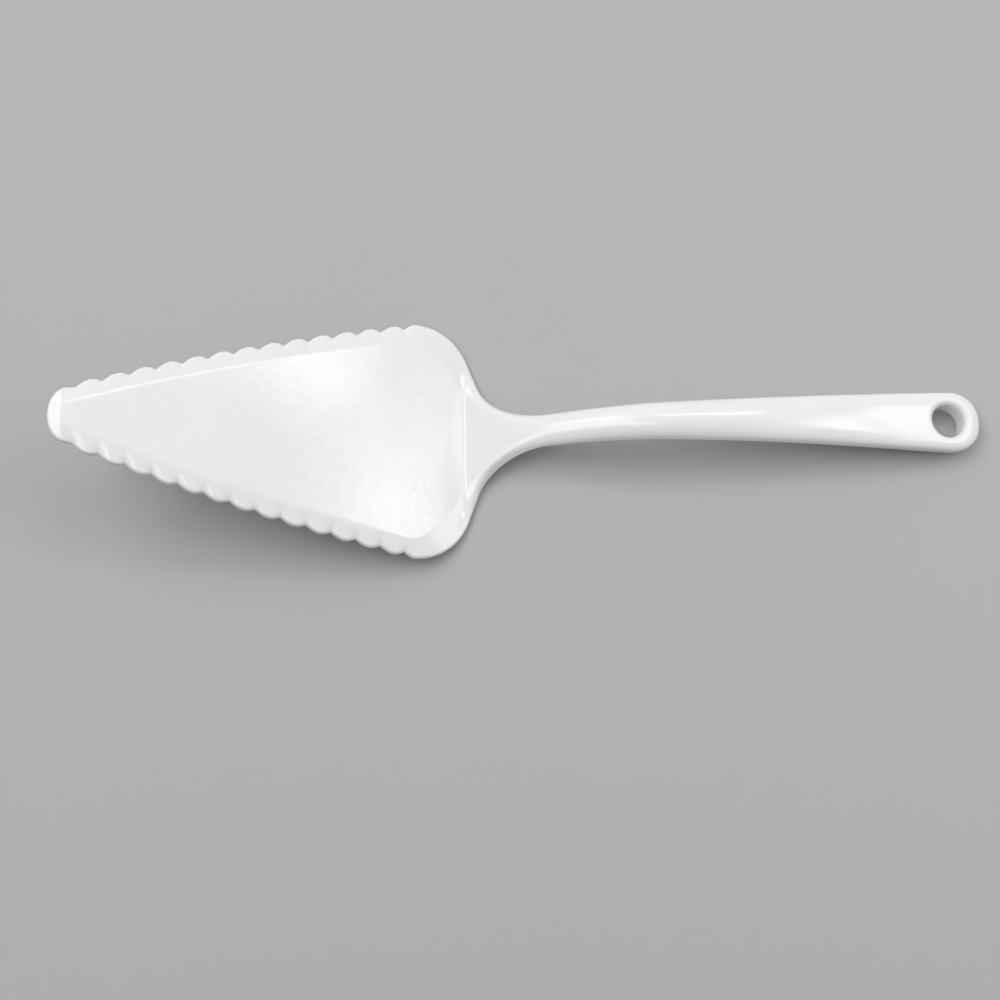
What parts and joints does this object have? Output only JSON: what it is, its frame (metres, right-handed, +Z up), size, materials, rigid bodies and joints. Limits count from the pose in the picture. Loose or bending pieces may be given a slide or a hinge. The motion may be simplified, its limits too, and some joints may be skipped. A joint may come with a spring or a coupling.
{
  "type": "cake server",
  "caption": "One-piece white plastic cake server with a flat triangular blade, a bevelled scalloped border, a cranked neck and an oval handle with a hanging hole.",
  "frame": {"origin": "centre of the footprint, on the table that the part rests on", "axes": "+X from the tip of the blade towards the end of the handle, +Y to the left of that, +Z up from the table"},
  "size_m": [0.2484, 0.068, 0.0401],
  "materials": {
    "white_plastic": "glossy, lightly scuffed"
  },
  "bodies": {
    "root": {"blade_plate": "white_plastic", "scalloped_edge": "white_plastic", "neck": "white_plastic", "handle": "white_plastic", "hanging_end": "white_plastic"}
  },
  "joints": []
}
